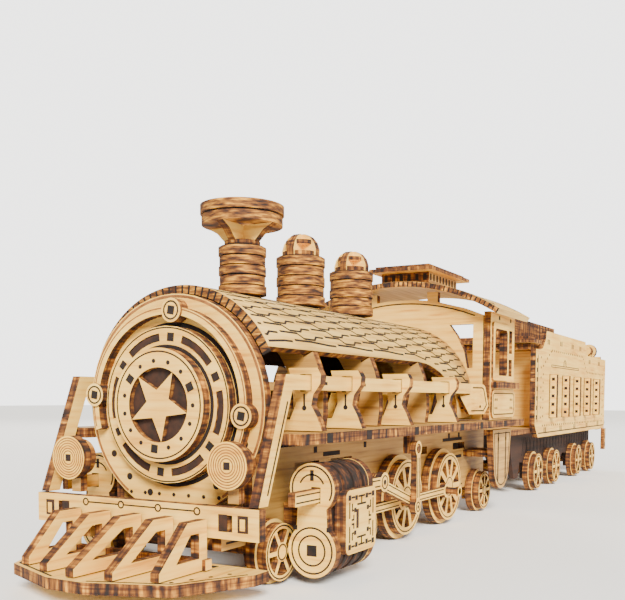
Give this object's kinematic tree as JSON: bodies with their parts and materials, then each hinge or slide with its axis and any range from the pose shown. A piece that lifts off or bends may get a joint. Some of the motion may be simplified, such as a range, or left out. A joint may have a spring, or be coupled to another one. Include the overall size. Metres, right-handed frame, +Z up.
{
  "type": "wooden steam locomotive puzzle model",
  "caption": "Laser-cut plywood steam locomotive with a swivelling tender, turning wheels, side rods, sliding crossheads, open boiler frame, cab and coal bin.",
  "frame": {"origin": "centre of the bounding box's bottom face, on the plane that the wheels stand on", "axes": "+X from the locomotive's front towards the tender's rear, +Y to the right-hand side, +Z up"},
  "size_m": [0.409, 0.0792, 0.0913],
  "materials": {
    "face_ply": "unfinished birch plywood, pale face with burnt edges",
    "shaded_ply": "unfinished birch plywood, slightly darker sheet",
    "stacked_edge_ply": "stacked plywood layers showing their laser-burnt brown edges"
  },
  "bodies": {
    "locomotive": {"pilot_base": "face_ply", "pilot_grille": "face_ply", "buffer_beam": "face_ply", "smokebox_front": "face_ply", "smokebox_ring": "face_ply", "smokebox_medallion": "face_ply", "front_handrail": "face_ply", "headlamp_left": "face_ply", "headlamp_right": "face_ply", "boiler_wrap": "face_ply", "boiler_former_1": "face_ply", "boiler_former_2": "face_ply", "boiler_former_3": "face_ply", "boiler_side_left": "shaded_ply", "boiler_side_right": "shaded_ply", "deck": "shaded_ply", "handrail_left": "face_ply", "handrail_right": "face_ply", "cross_frame_1": "face_ply", "cross_frame_2": "face_ply", "cross_frame_3": "face_ply", "cross_frame_4": "face_ply", "frame_side_left": "shaded_ply", "frame_side_right": "shaded_ply", "chimney_barrel": "stacked_edge_ply", "chimney_cap": "stacked_edge_ply", "dome_front": "stacked_edge_ply", "dome_rear": "stacked_edge_ply", "cylinder_left": "stacked_edge_ply", "cylinder_right": "stacked_edge_ply", "cab_front": "face_ply", "cab_side_left": "face_ply", "cab_side_right": "face_ply", "cab_roof": "face_ply", "roof_vent": "face_ply"},
    "wheelset_pilot_front": {"wheelset_pilot_front": "face_ply"},
    "wheelset_pilot_rear": {"wheelset_pilot_rear": "face_ply"},
    "driver_front": {"driver_front": "face_ply"},
    "driver_rear": {"driver_rear": "face_ply"},
    "wheelset_trailing": {"wheelset_trailing": "face_ply"},
    "coupling_rod_left": {"coupling_rod_left": "face_ply"},
    "coupling_rod_right": {"coupling_rod_right": "face_ply"},
    "main_rod_left": {"main_rod_left": "face_ply"},
    "main_rod_right": {"main_rod_right": "face_ply"},
    "lever_left": {"lever_left": "face_ply"},
    "lever_right": {"lever_right": "face_ply"},
    "crosshead_left": {"crosshead_left": "face_ply"},
    "crosshead_right": {"crosshead_right": "face_ply"},
    "tender": {"tender_side_left": "face_ply", "tender_side_right": "face_ply", "tender_floor": "shaded_ply", "tender_front": "face_ply", "tender_rear": "face_ply", "tender_top": "shaded_ply", "truck_frame_left": "shaded_ply", "truck_frame_right": "shaded_ply"},
    "tender_wheelset_1": {"tender_wheelset_1": "face_ply"},
    "tender_wheelset_2": {"tender_wheelset_2": "face_ply"},
    "tender_wheelset_3": {"tender_wheelset_3": "face_ply"},
    "tender_wheelset_4": {"tender_wheelset_4": "face_ply"}
  },
  "joints": [
    {"name": "wheelset_pilot_front_spin", "type": "hinge", "parent": "locomotive", "child": "wheelset_pilot_front", "pos_m": [-0.1641, 0, 0.0074], "axis": [0, 1, 0], "continuous": true},
    {"name": "wheelset_pilot_rear_spin", "type": "hinge", "parent": "locomotive", "child": "wheelset_pilot_rear", "pos_m": [-0.1215, 0, 0.0074], "axis": [0, 1, 0], "continuous": true},
    {"name": "driver_front_spin", "type": "hinge", "parent": "locomotive", "child": "driver_front", "pos_m": [-0.0943, 0, 0.0127], "axis": [0, 1, 0], "continuous": true},
    {"name": "driver_rear_spin", "type": "hinge", "parent": "locomotive", "child": "driver_rear", "pos_m": [-0.0591, 0, 0.0127], "axis": [0, 1, 0], "continuous": true},
    {"name": "wheelset_trailing_spin", "type": "hinge", "parent": "locomotive", "child": "wheelset_trailing", "pos_m": [-0.022, 0, 0.0079], "axis": [0, 1, 0], "continuous": true},
    {"name": "coupling_rod_left_pivot", "type": "hinge", "parent": "driver_front", "child": "coupling_rod_left", "pos_m": [-0.1021, 0, 0.0122], "axis": [0, 1, 0], "continuous": true},
    {"name": "coupling_rod_right_pivot", "type": "hinge", "parent": "driver_front", "child": "coupling_rod_right", "pos_m": [-0.1021, 0, 0.0122], "axis": [0, 1, 0], "continuous": true},
    {"name": "main_rod_left_pivot", "type": "hinge", "parent": "driver_front", "child": "main_rod_left", "pos_m": [-0.1021, 0, 0.0122], "axis": [0, 1, 0], "continuous": true},
    {"name": "main_rod_right_pivot", "type": "hinge", "parent": "driver_front", "child": "main_rod_right", "pos_m": [-0.1021, 0, 0.0122], "axis": [0, 1, 0], "continuous": true},
    {"name": "lever_left_swing", "type": "hinge", "parent": "locomotive", "child": "lever_left", "pos_m": [-0.1063, 0, 0.0282], "axis": [0, 1, 0], "range_deg": [0, 12]},
    {"name": "lever_right_swing", "type": "hinge", "parent": "locomotive", "child": "lever_right", "pos_m": [-0.1063, 0, 0.0282], "axis": [0, 1, 0], "range_deg": [0, 12]},
    {"name": "crosshead_left_slide", "type": "slide", "parent": "locomotive", "child": "crosshead_left", "axis": [1, 0, 0], "range_m": [0, 0.0156]},
    {"name": "crosshead_right_slide", "type": "slide", "parent": "locomotive", "child": "crosshead_right", "axis": [1, 0, 0], "range_m": [0, 0.0156]},
    {"name": "tender_swivel", "type": "hinge", "parent": "locomotive", "child": "tender", "pos_m": [0.002, 0, 0.0282], "axis": [0, 0, 1], "range_deg": [-8, 8]},
    {"name": "tender_wheelset_1_spin", "type": "hinge", "parent": "tender", "child": "tender_wheelset_1", "pos_m": [0.0585, 0, 0.009], "axis": [0, 1, 0], "continuous": true},
    {"name": "tender_wheelset_2_spin", "type": "hinge", "parent": "tender", "child": "tender_wheelset_2", "pos_m": [0.0923, 0, 0.009], "axis": [0, 1, 0], "continuous": true},
    {"name": "tender_wheelset_3_spin", "type": "hinge", "parent": "tender", "child": "tender_wheelset_3", "pos_m": [0.1423, 0, 0.009], "axis": [0, 1, 0], "continuous": true},
    {"name": "tender_wheelset_4_spin", "type": "hinge", "parent": "tender", "child": "tender_wheelset_4", "pos_m": [0.1783, 0, 0.009], "axis": [0, 1, 0], "continuous": true}
  ],
  "couplings": [
    {"joint": "driver_rear_spin", "follows": "driver_front_spin", "ratio": 1},
    {"joint": "coupling_rod_left_pivot", "follows": "driver_front_spin", "ratio": -1},
    {"joint": "coupling_rod_right_pivot", "follows": "driver_front_spin", "ratio": -1},
    {"joint": "main_rod_left_pivot", "follows": "driver_front_spin", "ratio": -1},
    {"joint": "main_rod_right_pivot", "follows": "driver_front_spin", "ratio": -1}
  ]
}
